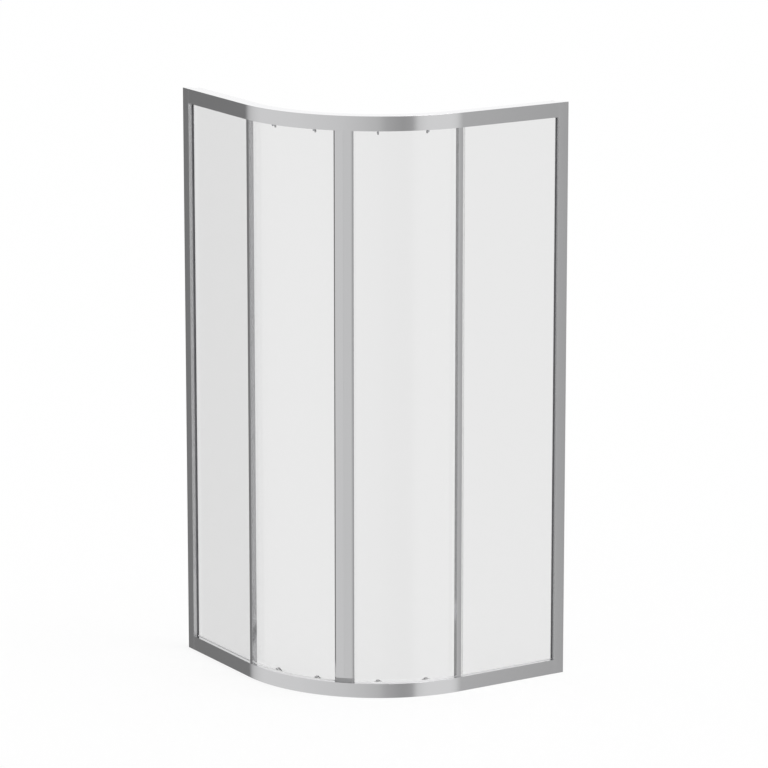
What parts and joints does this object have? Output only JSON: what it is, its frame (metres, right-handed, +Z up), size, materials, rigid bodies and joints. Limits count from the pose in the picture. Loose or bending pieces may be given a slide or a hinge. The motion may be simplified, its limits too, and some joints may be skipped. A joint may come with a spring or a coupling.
{
  "type": "quadrant shower enclosure",
  "caption": "Corner shower enclosure in a satin aluminium frame: flat glass beside each wall and curved sliding glass doors that meet on the diagonal.",
  "frame": {"origin": "centre of the bounding box's base, on the tray's rim", "axes": "+Z up; the walls stand at +X and +Y; the curved doors look towards -X and -Y"},
  "size_m": [0.88, 0.88, 1.85],
  "materials": {
    "frame_aluminium": "satin anodised",
    "channel_aluminium": "mill finish",
    "clear_glass": "clear toughened",
    "gasket_rubber": "soft matte",
    "grey_plastic": "moulded grey",
    "dark_plastic": "moulded dark grey",
    "connector_plastic": "moulded black",
    "infill_plastic": "extruded light grey",
    "seal_plastic": "translucent soft",
    "magnet_plastic": "white-grey magnetic",
    "nylon": "white nylon",
    "screw_steel": "stainless"
  },
  "bodies": {
    "frame": {"top_rail": "frame_aluminium", "bottom_rail": "frame_aluminium", "left_wall_post": "frame_aluminium", "left_wall_channel": "channel_aluminium", "left_fixed_glass": "clear_glass", "left_fixed_stile": "frame_aluminium", "left_glazing_gaskets": "gasket_rubber", "right_wall_post": "frame_aluminium", "right_wall_channel": "channel_aluminium", "right_fixed_glass": "clear_glass", "right_fixed_stile": "frame_aluminium", "right_glazing_gaskets": "gasket_rubber", "post_caps": "grey_plastic", "corner_connectors": "connector_plastic", "rail_end_caps": "grey_plastic", "adjusting_screws": "screw_steel", "setting_blocks": "gasket_rubber", "groove_infill": "infill_plastic", "door_stops": "gasket_rubber"},
    "left_door": {"left_door_glass": "clear_glass", "left_closing_profile": "frame_aluminium", "left_closing_end_caps": "dark_plastic", "left_magnetic_strip": "magnet_plastic", "left_closing_gasket": "gasket_rubber", "left_edge_seal": "seal_plastic", "left_top_carriers": "grey_plastic", "left_bottom_housings": "dark_plastic", "left_glass_nuts": "screw_steel"},
    "left_front_top_wheel": {"left_front_top_wheel": "nylon"},
    "left_front_release_block": {"left_front_release_block": "grey_plastic"},
    "left_front_bottom_wheel": {"left_front_bottom_wheel": "nylon"},
    "left_rear_top_wheel": {"left_rear_top_wheel": "nylon"},
    "left_rear_release_block": {"left_rear_release_block": "grey_plastic"},
    "left_rear_bottom_wheel": {"left_rear_bottom_wheel": "nylon"},
    "right_door": {"right_door_glass": "clear_glass", "right_closing_profile": "frame_aluminium", "right_closing_end_caps": "dark_plastic", "right_magnetic_strip": "magnet_plastic", "right_closing_gasket": "gasket_rubber", "right_edge_seal": "seal_plastic", "right_top_carriers": "grey_plastic", "right_bottom_housings": "dark_plastic", "right_glass_nuts": "screw_steel"},
    "right_front_top_wheel": {"right_front_top_wheel": "nylon"},
    "right_front_release_block": {"right_front_release_block": "grey_plastic"},
    "right_front_bottom_wheel": {"right_front_bottom_wheel": "nylon"},
    "right_rear_top_wheel": {"right_rear_top_wheel": "nylon"},
    "right_rear_release_block": {"right_rear_release_block": "grey_plastic"},
    "right_rear_bottom_wheel": {"right_rear_bottom_wheel": "nylon"}
  },
  "joints": [
    {"name": "left_door_slide", "type": "hinge", "parent": "frame", "child": "left_door", "pos_m": [0.1133, 0.0697, 0], "axis": [0, 0, -1], "range_deg": [0, 21.8]},
    {"name": "left_front_top_wheel_spin", "type": "hinge", "parent": "left_door", "child": "left_front_top_wheel", "pos_m": [-0.33798, -0.19527, 1.8333], "axis": [0.8453, 0.5344, 0], "continuous": true},
    {"name": "left_front_release", "type": "slide", "parent": "left_door", "child": "left_front_release_block", "axis": [0, 0, -1], "range_m": [0, 0.003], "stiffness_N_per_m": 1500, "springref_m": -0.004},
    {"name": "left_front_bottom_wheel_spin", "type": "hinge", "parent": "left_front_release_block", "child": "left_front_bottom_wheel", "pos_m": [-0.33798, -0.19527, 0.0167], "axis": [0.8453, 0.5344, 0], "continuous": true},
    {"name": "left_rear_top_wheel_spin", "type": "hinge", "parent": "left_door", "child": "left_rear_top_wheel", "pos_m": [-0.39777, -0.05091, 1.8333], "axis": [0.9755, 0.2198, 0], "continuous": true},
    {"name": "left_rear_release", "type": "slide", "parent": "left_door", "child": "left_rear_release_block", "axis": [0, 0, -1], "range_m": [0, 0.003], "stiffness_N_per_m": 1500, "springref_m": -0.004},
    {"name": "left_rear_bottom_wheel_spin", "type": "hinge", "parent": "left_rear_release_block", "child": "left_rear_bottom_wheel", "pos_m": [-0.39777, -0.05091, 0.0167], "axis": [0.9755, 0.2198, 0], "continuous": true},
    {"name": "right_door_slide", "type": "hinge", "parent": "frame", "child": "right_door", "pos_m": [0.0697, 0.1133, 0], "axis": [0, 0, 1], "range_deg": [0, 21.8]},
    {"name": "right_front_top_wheel_spin", "type": "hinge", "parent": "right_door", "child": "right_front_top_wheel", "pos_m": [-0.19527, -0.33798, 1.8333], "axis": [0.5344, 0.8453, 0], "continuous": true},
    {"name": "right_front_release", "type": "slide", "parent": "right_door", "child": "right_front_release_block", "axis": [0, 0, -1], "range_m": [0, 0.003], "stiffness_N_per_m": 1500, "springref_m": -0.004},
    {"name": "right_front_bottom_wheel_spin", "type": "hinge", "parent": "right_front_release_block", "child": "right_front_bottom_wheel", "pos_m": [-0.19527, -0.33798, 0.0167], "axis": [0.5344, 0.8453, 0], "continuous": true},
    {"name": "right_rear_top_wheel_spin", "type": "hinge", "parent": "right_door", "child": "right_rear_top_wheel", "pos_m": [-0.05091, -0.39777, 1.8333], "axis": [0.2198, 0.9755, 0], "continuous": true},
    {"name": "right_rear_release", "type": "slide", "parent": "right_door", "child": "right_rear_release_block", "axis": [0, 0, -1], "range_m": [0, 0.003], "stiffness_N_per_m": 1500, "springref_m": -0.004},
    {"name": "right_rear_bottom_wheel_spin", "type": "hinge", "parent": "right_rear_release_block", "child": "right_rear_bottom_wheel", "pos_m": [-0.05091, -0.39777, 0.0167], "axis": [0.2198, 0.9755, 0], "continuous": true}
  ],
  "couplings": [
    {"joint": "left_front_top_wheel_spin", "follows": "left_door_slide", "ratio": -58.146},
    {"joint": "left_front_bottom_wheel_spin", "follows": "left_door_slide", "ratio": 58.146},
    {"joint": "left_rear_top_wheel_spin", "follows": "left_door_slide", "ratio": -58.346},
    {"joint": "left_rear_bottom_wheel_spin", "follows": "left_door_slide", "ratio": 58.346},
    {"joint": "right_front_top_wheel_spin", "follows": "right_door_slide", "ratio": 58.146},
    {"joint": "right_front_bottom_wheel_spin", "follows": "right_door_slide", "ratio": -58.146},
    {"joint": "right_rear_top_wheel_spin", "follows": "right_door_slide", "ratio": 58.346},
    {"joint": "right_rear_bottom_wheel_spin", "follows": "right_door_slide", "ratio": -58.346}
  ]
}
